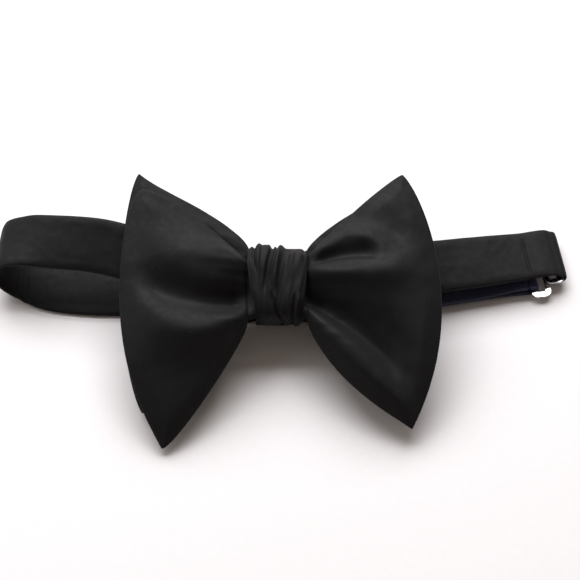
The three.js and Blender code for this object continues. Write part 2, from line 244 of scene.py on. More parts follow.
def satinFinish(name, slotName, look):
    finish = Finish(name, slotName)
    along, across = finish.clothPlace()
    row = across * (turn / look["threadPitch"])
    step = along * (turn / look["floatLength"]) + across * (turn * 0.37 / look["threadPitch"])
    threads = finish.sine(row) * 0.5 + 0.5
    floats = finish.sine(step) * 0.5 + 0.5
    weave = threads * 0.65 + floats * threads * 0.35
    cloudy = finish.noiseAt(38, 4)
    fine = finish.noiseAt(520, 2)
    specks = finish.between(finish.noiseAt(1450, 1.0, 0.4), 0.765, 0.80)
    share = finish.between(cloudy * 0.7 + weave * 0.2 + fine * 0.1, 0.30, 0.72)
    cloth = finish.mixColour(share, look["dark"], look["light"])
    colour = finish.mixColour(specks * 0.55, cloth, look["dust"])
    low, high = look["roughness"]
    roughness = finish.between(cloudy * 0.6 + fine * 0.4, 0.3, 0.7) * (high - low) + low
    height = weave * 0.6 + fine * 0.4
    finish.surface({
        "Base Color": colour,
        "Roughness": roughness,
        "Normal": finish.bump(height, look["bump"], 0.0002),
        "Sheen Weight": look["sheen"],
        "Sheen Roughness": look["sheenRoughness"],
        "Sheen Tint": look["sheenTint"],
        "Specular IOR Level": look["gloss"],
    })
    return finish


# Grosgrain ribbon: ribs across it, with a closer edge.
ribbonLook = {
    "dark": (0.010, 0.013, 0.032, 1),
    "light": (0.042, 0.054, 0.135, 1),
    "ribPitch": 0.62,
    "warpPitch": 0.31,
    "width": 19.0,
    "edge": 0.9,
    "sheen": 0.3,
    "sheenTint": (0.6, 0.7, 1.0, 1),
}


def ribbonFinish(name, slotName, look):
    finish = Finish(name, slotName)
    along, across = finish.clothPlace()
    ribs = finish.sine(along * (turn / look["ribPitch"])) * 0.5 + 0.5
    warp = finish.sine(across * (turn / look["warpPitch"])) * 0.5 + 0.5
    fromMiddle = finish.maths("ABSOLUTE", across - look["width"] / 2)
    edgeStart = look["width"] / 2 - look["edge"]
    edge = finish.between(fromMiddle, edgeStart, edgeStart + 0.2)
    fine = finish.noiseAt(700, 2)
    height = (ribs ** 0.7) * (1 - edge * 0.7) + warp * 0.15 + fine * 0.15
    share = finish.between(height + finish.noiseAt(60, 3) * 0.5, 0.3, 1.5)
    finish.surface({
        "Base Color": finish.mixColour(share, look["dark"], look["light"]),
        "Roughness": fine * 0.2 + 0.45,
        "Normal": finish.bump(height, 0.5, 0.0003),
        "Sheen Weight": look["sheen"],
        "Sheen Roughness": 0.4,
        "Sheen Tint": look["sheenTint"],
    })
    return finish


# Woven lining canvas, hidden in the covers.
canvasLook = {"dark": (0.022, 0.021, 0.020, 1), "light": (0.055, 0.052, 0.049, 1), "pitch": 0.7}


def canvasFinish(name, slotName, look):
    finish = Finish(name, slotName)
    along, across = finish.clothPlace()
    perThread = turn / look["pitch"]
    weave = finish.sine(along * perThread) * finish.sine(across * perThread) * 0.5 + 0.5
    colour = finish.mixColour(weave, look["dark"], look["light"])
    fuzz = finish.noiseAt(900, 3)
    finish.surface({
        "Base Color": colour,
        "Roughness": fuzz * 0.1 + 0.85,
        "Normal": finish.bump(weave + fuzz * 0.3, 0.5, 0.0003),
    })
    return finish


# Bright nickel plate with fine brushing and small dull spots.
nickelLook = {"bright": (0.72, 0.71, 0.74, 1), "dull": (0.42, 0.41, 0.44, 1), "roughness": 0.13}


def nickelFinish(name, slotName, look):
    finish = Finish(name, slotName)
    place = finish.objectPlace()
    stretched = finish.node("Mapping", {}, {"Vector": place, "Scale": (1.0, 6.0, 1.0)})
    brushed = finish.noiseAt(900, 2, 0.6, stretched)
    spots = finish.between(finish.noiseAt(340, 4, 0.6), 0.52, 0.68)
    colour = finish.mixColour(spots * 0.6, look["bright"], look["dull"])
    finish.surface({
        "Base Color": colour,
        "Metallic": 1.0,
        "Roughness": brushed * 0.14 + spots * 0.16 + look["roughness"],
        "Normal": finish.bump(brushed, 0.12, 0.00008),
    })
    return finish


# Twisted sewing thread.
threadLook = {"dark": (0.0012, 0.0011, 0.0012, 1), "light": (0.006, 0.0055, 0.006, 1), "twist": 21000}


def threadFinish(name, slotName, look):
    finish = Finish(name, slotName)
    place = finish.objectPlace()
    split = finish.node("SeparateXYZ", {}, {0: place})
    x, y, z = (Value(finish, split.socket.node.outputs[i]) for i in range(3))
    twist = finish.sine((x + y * 1.3 + z * 0.8) * look["twist"]) * 0.5 + 0.5
    fuzz = finish.noiseAt(2500, 2)
    finish.surface({
        "Base Color": finish.mixColour(twist * 0.7 + fuzz * 0.3, look["dark"], look["light"]),
        "Roughness": fuzz * 0.2 + 0.55,
        "Normal": finish.bump(twist + fuzz * 0.4, 0.4, 0.0001),
        "Sheen Weight": 0.03,
        "Sheen Roughness": 0.5,
        "Specular IOR Level": 0.25,
    })
    return finish


satin = satinFinish("blackSatin", "satin", satinLook)
canvas = canvasFinish("liningCanvas", "interlining", canvasLook)
navy = ribbonFinish("navyGrosgrain", "navy_ribbon", ribbonLook)
nickel = nickelFinish("nickelPlate", "nickel", nickelLook)
thread = threadFinish("blackThread", "thread", threadLook)
print("tie: finishes made")

studio = {
    "target": (3.46, 16.45, 0.0),  # mm
    "distance": 533.9,  # mm
    "tilt": 31.0,  # degrees from straight down
    "lens": 93.1,
    "lamps": {  # place in m, size in m, power in W, colour
        "window": ((-0.10, 0.80, 0.84), (1.3, 0.8), 24.0, (0.97, 0.96, 1.0)),
        "sideFill": ((-0.7, 0.1, 0.5), (0.5, 0.5), 1.0, (0.96, 0.97, 1.0)),
    },
    "roomColour": (1.0, 0.84, 0.74, 1),
    "roomStrength": 0.17,
}


def makeStudio(look):
    camera = bpy.data.objects.new("camera", bpy.data.cameras.new("camera"))
    tilt = math.radians(look["tilt"])
    back = Vector((0, -math.sin(tilt), math.cos(tilt))) * look["distance"]
    camera.location = (Vector(look["target"]) + back) * mm
    camera.rotation_euler = (tilt, 0, 0)
    camera.data.lens = look["lens"]
    camera.data.clip_start = 0.01
    scene.collection.objects.link(camera)
    scene.camera = camera

    for name, (place, size, power, colour) in look["lamps"].items():
        lamp = bpy.data.lights.new(name, "AREA")
        lamp.shape, lamp.size, lamp.size_y = "RECTANGLE", size[0], size[1]
        lamp.energy, lamp.color = power, colour
        light = bpy.data.objects.new(name, lamp)
        light.location = place
        light.rotation_euler = (-Vector(place)).to_track_quat("-Z", "Y").to_euler()
        scene.collection.objects.link(light)

    world = bpy.data.worlds.new("room")
    scene.world = world
    world.use_nodes = True
    background = world.node_tree.nodes["Background"]
    background.inputs["Color"].default_value = look["roomColour"]
    background.inputs["Strength"].default_value = look["roomStrength"]
    scene.view_settings.view_transform = "Standard"


makeStudio(studio)


floorLook = {"dark": (0.90, 0.885, 0.87, 1), "light": (0.93, 0.92, 0.91, 1), "half": 1.6}  # half in m


def makeFloor(look):
    finish = Finish("paleCard", "satin")
    fine = finish.noiseAt(420, 3)
    finish.surface({
        "Base Color": finish.mixColour(fine, look["dark"], look["light"]),
        "Roughness": fine * 0.1 + 0.75,
        "Specular IOR Level": 0.1,
    })
    bm = bmesh.new()
    bmesh.ops.create_grid(bm, x_segments=4, y_segments=4, size=look["half"])
    bmesh.ops.translate(bm, verts=bm.verts, vec=(0, 0, cadLow[2]))
    mesh = bpy.data.meshes.new("floor")
    bm.to_mesh(mesh)
    bm.free()
    mesh.materials.append(finish.material)
    floor = bpy.data.objects.new("floor", mesh)
    scene.collection.objects.link(floor)


makeFloor(floorLook)

knotMiddle = boxMiddle("knot_wrap")
bowLean = math.radians(14)
bowFrame = Matrix.Translation(knotMiddle / mm) @ Matrix.Rotation(bowLean, 4, "X")  # in mm

# Edges are curves between corners: bulge is how far they stand out of the straight line,
# skew moves the bulge towards the first corner, and the powers say how full each end is.
# A fold runs through three points (x, v). rise, above and below are its height and its widths
# on the two sides, at its first and last point.
frontBow = {
    "side": 1,
    "lift": 3.0,
    "crown": 5.4,
    "half": 1.35,
    "left": {
        "waist": (10.4, 9.6, -12.0),  # x, top and bottom where it leaves the knot
        "top": (47.0, 34.2), "low": (38.4, -55.0), "droop": 7.0,
        "topEdge": (2.6, -0.6, 0.9, 0.7), "outerEdge": (10.2, 0.0, 0.64, 1.0),
        "lowEdge": (3.3, 0.0, 0.42, 0.5),
        "folds": [
            {"name": "upper roll", "path": ((-9, 9.0), (-21, 10.8), (-44, 10.6)),
             "rise": (2.6, 0.5), "above": (4.6, 14.0), "below": (4.0, 7.0)},
            {"name": "valley", "path": ((-8, -4.9), (-24, -6.6), (-47, 1.6)),
             "rise": (-6.2, -3.0), "above": (6.6, 8.0), "below": (3.2, 5.0)},
            {"name": "lip", "path": ((-9, -9.2), (-25, -17.4), (-46, -8.6)),
             "rise": (2.6, 1.7), "above": (4.2, 6.0), "below": (4.6, 7.5)},
            {"name": "lip crease", "path": ((-13.0, -9.4), (-19, -9.9), (-25, -9.6)),
             "rise": (-0.35, -0.2), "above": (0.5, 0.5), "below": (0.7, 0.7)},
            {"name": "lower fall", "path": ((-12, -22), (-26, -30), (-44, -30)),
             "rise": (-0.7, -0.7), "above": (7.0, 9.0), "below": (7.0, 10.0)},
        ],
    },
    "right": {
        "waist": (10.4, 10.6, -11.6),
        "top": (43.4, 39.8), "low": (45.0, -49.0), "droop": 5.0,
        "topEdge": (1.4, -0.2, 0.5, 0.6), "outerEdge": (11.5, 0.0, 0.80, 0.95),
        "lowEdge": (4.9, 0.25, 0.75, 1.1),
        "folds": [
            {"name": "pocket", "path": ((12, 8.0), (23, 9.6), (34, 9.2)),
             "rise": (-2.8, -2.0), "above": (2.6, 4.0), "below": (1.2, 1.5)},
            {"name": "pocket roof", "path": ((12, 11.0), (24, 17.2), (36, 13.0)),
             "rise": (1.2, 1.0), "above": (4.0, 6.0), "below": (2.4, 3.0)},
            {"name": "upper roll", "path": ((9, 4.6), (22, 3.2), (47, 5.4)),
             "rise": (2.6, 1.5), "above": (2.2, 6.0), "below": (2.4, 6.0)},
            {"name": "pleat", "path": ((8, -4.2), (24, -13.8), (45, -31.0)),
             "rise": (-6.2, -4.6), "above": (3.0, 13.0), "below": (1.9, 7.0)},
            {"name": "cone", "path": ((10, -10.4), (26, -27.5), (44, -42)),
             "rise": (1.9, 1.6), "above": (5.0, 9.0), "below": (4.0, 8.0)},
            {"name": "second cone", "path": ((27, -12.5), (36, -20), (43, -32)),
             "rise": (0.2, 0.9), "above": (2.4, 3.4), "below": (2.4, 3.6)},
            {"name": "top dip", "path": ((24, 23), (33, 22), (44, 17)),
             "rise": (-0.5, -1.2), "above": (4.0, 6.0), "below": (3.0, 5.0)},
        ],
    },
}
rearBow = {
    "side": -1,
    "lift": 3.0,
    "crown": 0.8,
    "half": 1.3,
    "left": {
        "waist": (10.4, 12.4, -11.4),
        "top": (48.4, 42.0), "low": (45.4, -42.4), "droop": 5.0,
        "topEdge": (3.2, 1.1, 0.4, 0.9), "outerEdge": (6.6, 0.0, 0.7, 0.75),
        "lowEdge": (2.0, 0.0, 0.8, 0.6),
        "folds": [
            {"name": "valley", "path": ((-8, -5.0), (-24, -6.4), (-47, 1.4)),
             "rise": (-2.6, -0.8), "above": (6.0, 10.0), "below": (4.0, 9.0)},
            {"name": "top roll", "path": ((-10, 13.5), (-26, 25.5), (-46, 37.0)),
             "rise": (1.2, 0.9), "above": (2.5, 3.5), "below": (3.0, 4.0)},
        ],
    },
    "right": {
        "waist": (10.4, 12.0, -11.2),
        "top": (39.0, 35.4), "low": (39.6, -43.6), "droop": 4.4,
        "topEdge": (2.8, 0.8, 0.42, 0.8), "outerEdge": (12.0, 0.0, 0.7, 0.8),
        "lowEdge": (1.6, 0.0, 0.8, 0.7),
        "folds": [
            {"name": "valley", "path": ((8, -3.4), (22, -6.4), (47, -14.0)),
             "rise": (-2.6, -1.0), "above": (4.0, 9.0), "below": (3.4, 8.0)},
        ],
    },
}
waistShare = 0.16  # share of each half of the bow that lies in the knot
waistHalf = 9.0
waistOffset = 2.4
clothLook = {
    "slowWave": 0.45, "fineWave": 0.13, "gather": 0.30,  # heights in mm
    "pucker": 0.05, "puckerPlace": 2.0,  # along the seams
    "rim": 0.34, "rimWidth": 5.0,  # rim: share of the thickness that is left at the edge
    "halfTall": 42, "halfLong": 50,  # from the middle to the rim, flat
    "cut": (110, 96), "liningCut": (104, 88),
    "liningHalf": 0.2, "liningInset": 0.04, "liningWaist": 0.13,
}


def edgePoint(first, last, share, bulge, skew, firstPower, lastPower):
    line = last - first
    outwards = Vector((line.y, -line.x)).normalized()
    full = max(0, 4 * share * (1 - share)) ** mix(firstPower, lastPower, share)
    return first + line * share + outwards * bulge * full * (1 + skew * (1 - 2 * share))


def foldHeight(fold, x, v):
    (x0, v0), (x1, v1), (x2, v2) = fold["path"]
    share = (x - x0) / (x2 - x0)
    at = min(1, max(0, share))
    s1 = (x1 - x0) / (x2 - x0)
    bend = (v1 - v0 - (v2 - v0) * s1) / (s1 * s1 - s1)
    middle = v0 + (v2 - v0) * at + bend * (at * at - at)
    slope = (v2 - v0 + bend * (2 * at - 1)) / (x2 - x0)
    off = (v - middle) / math.hypot(1, slope)
    width = mix(*(fold["above"] if off > 0 else fold["below"]), at)
    ends = (1 - ease(0.80, 1.12, share)) * (1 if abs(x0) < 12 else ease(-0.15, 0.2, share))
    return mix(*fold["rise"], at) * hill(off, width) * ends


# A point on the middle of a bow panel, in the bow's own frame: x along, y up the wings.
def bowSheet(bow, along, across):
    left = along < 0
    wing = bow["left"] if left else bow["right"]
    out = max(0, (abs(along) - waistShare) / (1 - waistShare))
    inKnot = min(1, abs(along) / waistShare)
    waistX, waistHigh, waistLow = wing["waist"]
    t = (across + 1) / 2
    if out == 0:
        x = waistX * inKnot
        widening = ease(0.2, 1, inKnot)
        v = mix(mix(-waistHalf, waistLow, widening), mix(waistHalf, waistHigh, widening), t)
    else:
        high, low = Vector((waistX, waistHigh)), Vector((waistX, waistLow))
        top, bottom = Vector(wing["top"]), Vector(wing["low"])
        topLine = edgePoint(top, high, 1 - out, *flipped(wing["topEdge"]))
        lowLine = edgePoint(low, bottom, out, *wing["lowEdge"])
        outer = edgePoint(bottom, top, t, *flipped(wing["outerEdge"]))
        inner = low + (high - low) * t
        patch = lowLine * (1 - t) + topLine * t + inner * (1 - out) + outer * out
        corners = (low * (1 - t) + high * t) * (1 - out) + (bottom * (1 - t) + top * t) * out
        x, v = patch - corners
    if left:
        x = -x
    droop = wing["droop"] * across * across * out * out if across < 0 else 0
    crown = bow["crown"] * math.sin(math.pi * out ** 0.8) * (1 - across * across)
    folds = sum(foldHeight(fold, x, v) for fold in wing["folds"])
    free = mix(0.22, 1, ease(7.5, 15, abs(x)))  # the knot presses the folds flat
    fade = 1 - 0.65 * ease(0.82, 1, abs(across))
    waves = (clothLook["slowWave"] * grain(x / 17, v / 17, bow["side"]) * out
             + clothLook["fineWave"] * grain(x / 5, v / 5, 3 + bow["side"]))
    waves += clothLook["gather"] * grain(x / 18, v / 2.9, 11 + bow["side"]) * ease(0.55, 0.05, out)
    w = bow["side"] * waistOffset + bow["lift"] * out + crown - droop + folds * free * fade + waves
    return x, v, w, out


def flipped(edge):
    bulge, skew, firstPower, lastPower = edge
    return bulge, -skew, lastPower, firstPower


def bowPlace(bow, half, inset=0.0):
    def place(along, across, side):
        fromEnd, fromSide = 1 - abs(along), 1 - abs(across)
        along, across = along * (1 - inset), across * (1 - 2 * inset)
        if inset:  # the canvas is cut narrower at the waist
            across *= 1 - clothLook["liningWaist"] * hill(abs(along) - waistShare, 0.06)
        x, v, w, out = bowSheet(bow, along, across)
        toEdge = min(fromSide * mix(waistHalf, clothLook["halfTall"], out), fromEnd * clothLook["halfLong"])
        pucker = clothLook["pucker"] * grain(x / 1.7, v / 1.7, 6)
        pucker *= hill(toEdge - clothLook["puckerPlace"], 1.5) * ease(0, 0.1, out) * ease(0, 0.8, toEdge)
        thick = rolled(toEdge, half, clothLook["rim"], clothLook["rimWidth"])
        return bowFrame @ Vector((x, v, w + side * thick + pucker * side))
    return place


def makeBow(name, bow, stands):
    place = bowPlace(bow, bow["half"])
    bm = clothShell(220, 170, clothLook["cut"], place, edgeShare=0.75, endShare=0.75)
    piece = makePiece(name + "Cloth", bm, satin, stands=(stands + "_cover",))
    place = bowPlace(bow, clothLook["liningHalf"], clothLook["liningInset"])
    bm = clothShell(90, 60, clothLook["liningCut"], place)
    lining = makePiece(name + "Lining", bm, canvas, stands=(stands + "_interlining",))


makeBow("frontBow", frontBow, "front_bow")
makeBow("rearBow", rearBow, "rear_bow")
print("tie: bow made")

knot = {
    "length": 20.4, "height": 27.0, "depth": 15.0, "wall": 0.8, "square": 2.7, "rise": 1.3,
    "leftTaper": 0.30, "rightTaper": 0.12,  # narrowing of the lower end on each side
    "lumps": 0.6, "pleats": 0.30,
}
knotCreases = [
    # points (v, x) from top to bottom, depth, width, roll beside it
    {"path": ((12.8, -1.5), (5.0, -3.2), (-2.5, -4.6)), "depth": 1.3, "width": 0.62,
     "roll": 0.3, "reach": (15.5, -3.0)},
    {"path": ((12.2, -0.2), (4.0, -1.9), (-1.0, -2.6)), "depth": 1.2, "width": 0.55,
     "roll": 1.1, "reach": (15.5, -2.0)},
    {"path": ((11.7, -7.9), (6.6, -8.0), (-0.5, -6.6)), "depth": 1.0, "width": 0.60,
     "roll": 0.7, "reach": (15.5, 4.5)},
    {"path": ((13.0, -5.2), (6.0, -5.6), (0.0, -5.6)), "depth": 0.5, "width": 0.6,
     "roll": 0.35, "reach": (14.0, 1.0)},
    {"path": ((-4.0, -2.2), (-8.4, -1.2), (-13.0, 2.2)), "depth": 0.7, "width": 0.7,
     "roll": 0.5, "reach": (-5.0, -17.0)},
    {"path": ((-3.0, 6.8), (-9.6, 6.2), (-15.0, 5.8)), "depth": 0.9, "width": 0.55,
     "roll": 0.5, "reach": (-5.5, -17.0)},
    {"path": ((13.0, 4.2), (7.0, 3.4), (-1.0, 2.6)), "depth": 0.4, "width": 0.9,
     "roll": 0.35, "reach": (15.0, 1.0)},
]


def creaseRelief(crease, x, v):
    (v0, x0), (v1, x1), (v2, x2) = crease["path"]
    share = (v - v0) / (v2 - v0)
    s1 = (v1 - v0) / (v2 - v0)
    bend = (x1 - x0 - (x2 - x0) * s1) / (s1 * s1 - s1)
    middle = x0 + (x2 - x0) * share + bend * (share * share - share)
    high, low = crease["reach"]
    present = ease(low - 3.0, low + 4.0, v) * (1 - ease(high - 2.0, high + 1.5, v))
    off = x - middle
    cut = crease["depth"] * hill(off, crease["width"])
    roll = crease["roll"] * hill(off - 1.5, 1.3)
    return (roll - cut) * present


def knotRelief(x, v, w):
    front = ease(-9.5, -4.5, w)
    raised = sum(creaseRelief(crease, x, v) for crease in knotCreases) * front
    if front < 1 and v > -11:  # soft gathers at the back
        back = 0.45 * math.sin(x * 1.5 + v * 0.12) + 0.2 * math.sin(x * 3.4 + v * 0.3)
        raised += back * (1 - front) * ease(-11, -6, v)
    lumps = knot["lumps"] * grain(x / 4.2, v / 11, 7) + knot["pleats"] * grain((x - 0.12 * v) / 1.5, v / 9, 2)
    # the upper edge steps down to the right
    top = 0.5 * hill(x + 3.6, 3.4) - 0.9 * ease(3.4, 4.4, x) - 0.5 * ease(-0.4, 0.4, x)
    return raised + lumps + top * ease(8, 13, v)


def knotTaper(x, up):
    return 1 - (knot["leftTaper"] if x < 0 else knot["rightTaper"]) * ease(6, -14.5, up)


# A ring of cloth round the bow's waist. relief(x, up, through) raises its outer face, edge is
# how far its two ends turn in, and taper(x, up) narrows it.
def ringShell(columns, rows, ring, relief, frameOf, edge=0.75, taper=None):
    halfUp, halfThrough = ring["height"] / 2, ring["depth"] / 2
    power = 2 / ring["square"]

    def outline(angle, inset):
        up, through = math.cos(angle), math.sin(angle)
        return (math.copysign(abs(up) ** power, up) * (halfUp - inset),
                math.copysign(abs(through) ** power, through) * (halfThrough - inset))

    def place(around, across, side):
        angle = math.pi * (1.5 + around)
        x = across * ring["length"] / 2
        toEdge = (1 - abs(across)) * ring["length"] / 2
        up, through = outline(angle, ring["wall"] / 2)
        outwards = Vector((math.cos(angle) / halfUp, math.sin(angle) / halfThrough)).normalized()
        half = rolled(toEdge, ring["wall"] / 2, 0.9, 1.0)
        inside = ease(0, 1.6, toEdge)
        raised = relief(x, up, through) * (mix(0.3, 1, inside) if side > 0 else 0.3 * (1 - inside))
        turnIn = edge * (1 - ease(0, 2.2, toEdge))
        raised += side * half - turnIn
        ripple = 0.25 * grain(up / 4, through / 4, 3 * math.copysign(1, across)) * abs(across)
        narrow = taper(x, up) if taper else 1
        up, through = up + outwards.x * raised, through + outwards.y * raised
        return frameOf @ Vector(((x + ripple) * narrow, up, through))

    around = 2 * (ring["height"] + ring["depth"]) * 0.92  # the corners are rounded
    return clothShell(columns, rows, (around, ring["length"]), place, edgeShare=0.35)


knotFrame = bowFrame @ Matrix.Translation((0, knot["rise"], 0))
bm = ringShell(240, 130, knot, knotRelief, knotFrame, taper=knotTaper)
piece = makePiece("knotWrap", bm, satin, stands=("knot_wrap",))

knotLining = {"length": 15.4, "height": 24.2, "depth": 12.2, "wall": 0.5, "square": 2.7}
bm = ringShell(100, 24, knotLining, lambda x, v, w: 0, knotFrame, edge=0.3, taper=knotTaper)
piece = makePiece("knotLining", bm, canvas, stands=("knot_interlining",))

binding = {"length": 6.0, "height": 21.6, "depth": 9.6, "wall": 0.6, "square": 3.2, "turns": 11}


def bindingRelief(x, v, w):
    phase = x / binding["length"] * binding["turns"] * turn
    return 0.16 * math.cos(phase) + 0.05 * grain(v, w, x)


bm = ringShell(120, 110, binding, bindingRelief, bowFrame, edge=0.1)
makePiece("waistThreads", bm, thread, stands=("waist_binding",))

keeper = {
    "length": 15.0, "height": 23.4, "depth": 4.5, "wall": 0.85, "square": 7.0,
    "offset": 2.0, "drop": 10.15,
}
keeperFrame = bowFrame @ Matrix.Translation((0, keeper["offset"], -keeper["drop"]))


def keeperRelief(x, v, w):
    return 0.10 * grain(x / 3, v / 3, 4) + 0.08 * math.sin(v * 0.9 + 0.4 * x)


bm = ringShell(160, 60, keeper, keeperRelief, keeperFrame, edge=0.0)
piece = makePiece("bandKeeper", bm, satin, stands=("band_keeper",))

tack = {"stitches": 7, "pitch": 1.25, "length": 2.6, "radius": 0.22, "bar": 8.6}


# A stitch is a short bar of thread with rounded ends, a few dozen faces each.
def addStitch(bm, length, radius, place):
    made = bmesh.ops.create_uvsphere(bm, u_segments=8, v_segments=6, radius=1)["verts"]
    for vert in made:
        x, y, z = vert.co
        vert.co = Vector((math.copysign(abs(z) ** 0.6, z) * length / 2, x * radius, y * radius))
    bmesh.ops.transform(bm, matrix=place, verts=made)


def makeTack(name, side, node):
    bm = bmesh.new()
    middle = bowFrame.inverted() @ (boxMiddle(node) / mm) + Vector((0, -side * 0.6, -0.3))
    for i in range(tack["stitches"]):
        lean = math.radians(90 + 14 * math.sin(i * 2.3))
        x = (i - (tack["stitches"] - 1) / 2) * tack["pitch"]
        place = Matrix.Translation(middle + Vector((x, 0, 0))) @ Matrix.Rotation(lean, 4, "Y")
        addStitch(bm, tack["length"], tack["radius"], place)
    bar = Matrix.Translation(middle + Vector((0, side * 0.1, -0.2)))
    addStitch(bm, tack["bar"], tack["radius"], bar)
    bmesh.ops.transform(bm, matrix=Matrix.Scale(mm, 4) @ bowFrame, verts=bm.verts)
    makePiece(name, bm, thread, stands=(node,))


makeTack("upperTack", 1, "keeper_tack_upper")
makeTack("lowerTack", -1, "keeper_tack_lower")
print("tie: knot made")

# Routes are in mm, with the knot's middle at bowCentre, and tieShift takes them to the frame.
gap = 0.3  # clearance between layers
bowCentre = Vector((0, -10.1, 17.40))
tieShift = knotMiddle / mm - bowCentre
closure = {"x": 89.3, "y": 7.2, "z": 2.3, "turn": math.radians(8)}
hookSizes = {"bar": 1.7, "thickness": 0.9, "slot": 3.5}
eyeSizes = {"bar": 1.4, "thickness": 0.9, "length": 6.6, "offset": 3.1}
band = {"width": 19.4, "half": 0.95, "hemHalf": 0.5}
ribbon = {"width": 19.0, "half": 0.42, "room": 0.45, "start": (24, -4.5), "lap": 8}
tongue = {"thickness": 0.9, "radius": 0.95}
slider = {"place": 15, "wireZ": 4.45, "radius": 1.35}
eyeWrapRadius = math.hypot(eyeSizes["bar"], eyeSizes["thickness"]) / 2 + gap + band["hemHalf"]
hookWrapRadius = math.hypot(hookSizes["bar"], hookSizes["thickness"]) / 2 + gap + ribbon["room"]
eyeHeight = closure["z"] - hookSizes["thickness"] / 2 + tongue["thickness"] + tongue["radius"]
eyeBarX = hookSizes["bar"] / 2 + hookSizes["slot"] + 0.4 + eyeSizes["length"] - eyeSizes["bar"] / 2
bandRunZ, ribbonRunZ, returnRunZ = 1.0, 1.9, 3.1  # heights of the runs that lie flat
ribbonLine = Vector((closure["x"] - ribbon["start"][0], closure["y"] - ribbon["start"][1]))
ribbonLength = ribbonLine.length
ribbonTurn = math.atan2(ribbonLine.y, ribbonLine.x)


# A place on a strip's middle line and the way across the strip there.
def stop(x, y, z, acrossX=0.0, acrossZ=0.0):
    return Vector((x, y, z)), Vector((acrossX, 1, acrossZ))


def bowStop(x, up, rise):
    y = bowCentre.y + up * math.cos(bowLean) - rise * math.sin(bowLean)
    z = bowCentre.z + up * math.sin(bowLean) + rise * math.cos(bowLean)
    return stop(x, y, z, 0, math.tan(bowLean))


def closureStop(x, y, z):
    c, s = math.cos(closure["turn"]), math.sin(closure["turn"])
    return stop(closure["x"] + x * c - y * s, closure["y"] + x * s + y * c, z, -math.tan(closure["turn"]))


def ribbonStop(distance, z):
    x = ribbon["start"][0] + distance * math.cos(ribbonTurn)
    y = ribbon["start"][1] + distance * math.sin(ribbonTurn)
    return stop(x, y, z, -math.tan(ribbonTurn))


def aroundBar(x, y, z, radius, angles):
    turns = [math.radians(angle) for angle in angles]
    return [closureStop(x + radius * math.cos(a), y, z + radius * math.sin(a)) for a in turns]


# A point at t on the curve through p[1] and p[2], where the knots say how far apart p's points are.
def curvePoint(p, knots, t):
    def step(a, b, low, high):
        return a.lerp(b, (t - knots[low]) / (knots[high] - knots[low]))

    lines = [step(p[i], p[i + 1], i, i + 1) for i in range(3)]
    arcs = [step(lines[i], lines[i + 1], i, i + 2) for i in range(2)]
    return step(arcs[0], arcs[1], 1, 2)


# A strip's middle line through its stops, measured by length.
class Route:
    def __init__(self, stops, stepsEach=24):
        points = [pair[0] for pair in stops]
        points = [2 * points[0] - points[1]] + points + [2 * points[-1] - points[-2]]
        self.line, self.across = [], []
        for i in range(1, len(points) - 2):
            p = points[i - 1:i + 3]
            knots = [0.0]
            for a, b in zip(p, p[1:]):
                knots.append(knots[-1] + (b - a).length ** 0.5)
            steps = stepsEach if i < len(points) - 3 else stepsEach + 1
            for j in range(steps):
                share = j / stepsEach
                self.line.append(curvePoint(p, knots, mix(knots[1], knots[2], share)))
                self.across.append(stops[i - 1][1].lerp(stops[i][1], share))
        self.lengths = [0.0]
        for a, b in zip(self.line, self.line[1:]):
            self.lengths.append(self.lengths[-1] + (b - a).length)
        self.length = self.lengths[-1]

    def at(self, distance):
        distance = min(self.length, max(0, distance))
        low, high = 0, len(self.lengths) - 1
        while high - low > 1:
            middle = (low + high) // 2
            if self.lengths[middle] <= distance:
                low = middle
            else:
                high = middle
        share = (distance - self.lengths[low]) / max(1e-9, self.lengths[high] - self.lengths[low])
        point = self.line[low].lerp(self.line[high], share)
        before, after = max(0, low - 1), min(len(self.line) - 1, high + 1)
        tangent = (self.line[after] - self.line[before]).normalized()
        across = self.across[low].lerp(self.across[high], share)
        across = (across - tangent * across.dot(tangent)).normalized()
        return point + tieShift, across, tangent.cross(across)

    def distanceTo(self, target):
        nearest = min(range(len(self.line)), key=lambda i: (self.line[i] - target).length)
        return self.lengths[nearest]


bandStops = [
    closureStop(eyeBarX - 1.3, eyeSizes["offset"], eyeHeight - eyeWrapRadius),
    *aroundBar(eyeBarX, eyeSizes["offset"], eyeHeight, eyeWrapRadius, (-90, -45, 0, 45, 90)),
    closureStop(eyeBarX - 2.6, eyeSizes["offset"], 6.9),
    closureStop(-1, eyeSizes["offset"] - 0.4, 7.3),
    stop(72, 6.4, 9.0, -0.14, 0.14),
    stop(54, 3.2, 10.2, -0.17, 0.25),
    stop(38, 0.6, 10.9, -0.2, 0.27),
    stop(22, -2.8, 10.4, -0.24, 0.24),
    bowStop(11, keeper["offset"], -keeper["drop"]),
    bowStop(5, keeper["offset"], -keeper["drop"]),
    bowStop(-5, keeper["offset"], -keeper["drop"]),
    bowStop(-11, keeper["offset"], -keeper["drop"]),
    stop(-24, -3.0, 10.8, 0.2, 0.28),
    stop(-42, 2.6, 14.4, 0.16, 0.36),
    stop(-62, 7.4, 17.4, 0.1, 0.42),
    stop(-80, 8.8, 18.2, 0.14, 0.3),
    stop(-89, 9.6, 17.4, 0.2, 0.16),
    stop(-96, 10.0, 14.2, 0.10, 0.06),
    stop(-98, 9.6, 9.6, 0.10),
    stop(-95.2, 7.0, 4.8, 0.14),
    stop(-88, 3.8, 1.9, 0.2),
    stop(-79, 0.4, bandRunZ, 0.2),
    stop(-67, -1.2, bandRunZ, 0.1),
    stop(-48, -1.6, bandRunZ, 0.03),
    stop(-24, -1.8, bandRunZ, 0.0),
    stop(0, -2.3, bandRunZ, 0.0),
    ribbonStop(-4 * gap, bandRunZ),
]
bandRoute = Route(bandStops)
bandLength = bandRoute.length
hemLength = bandRoute.distanceTo(bandStops[6][0])
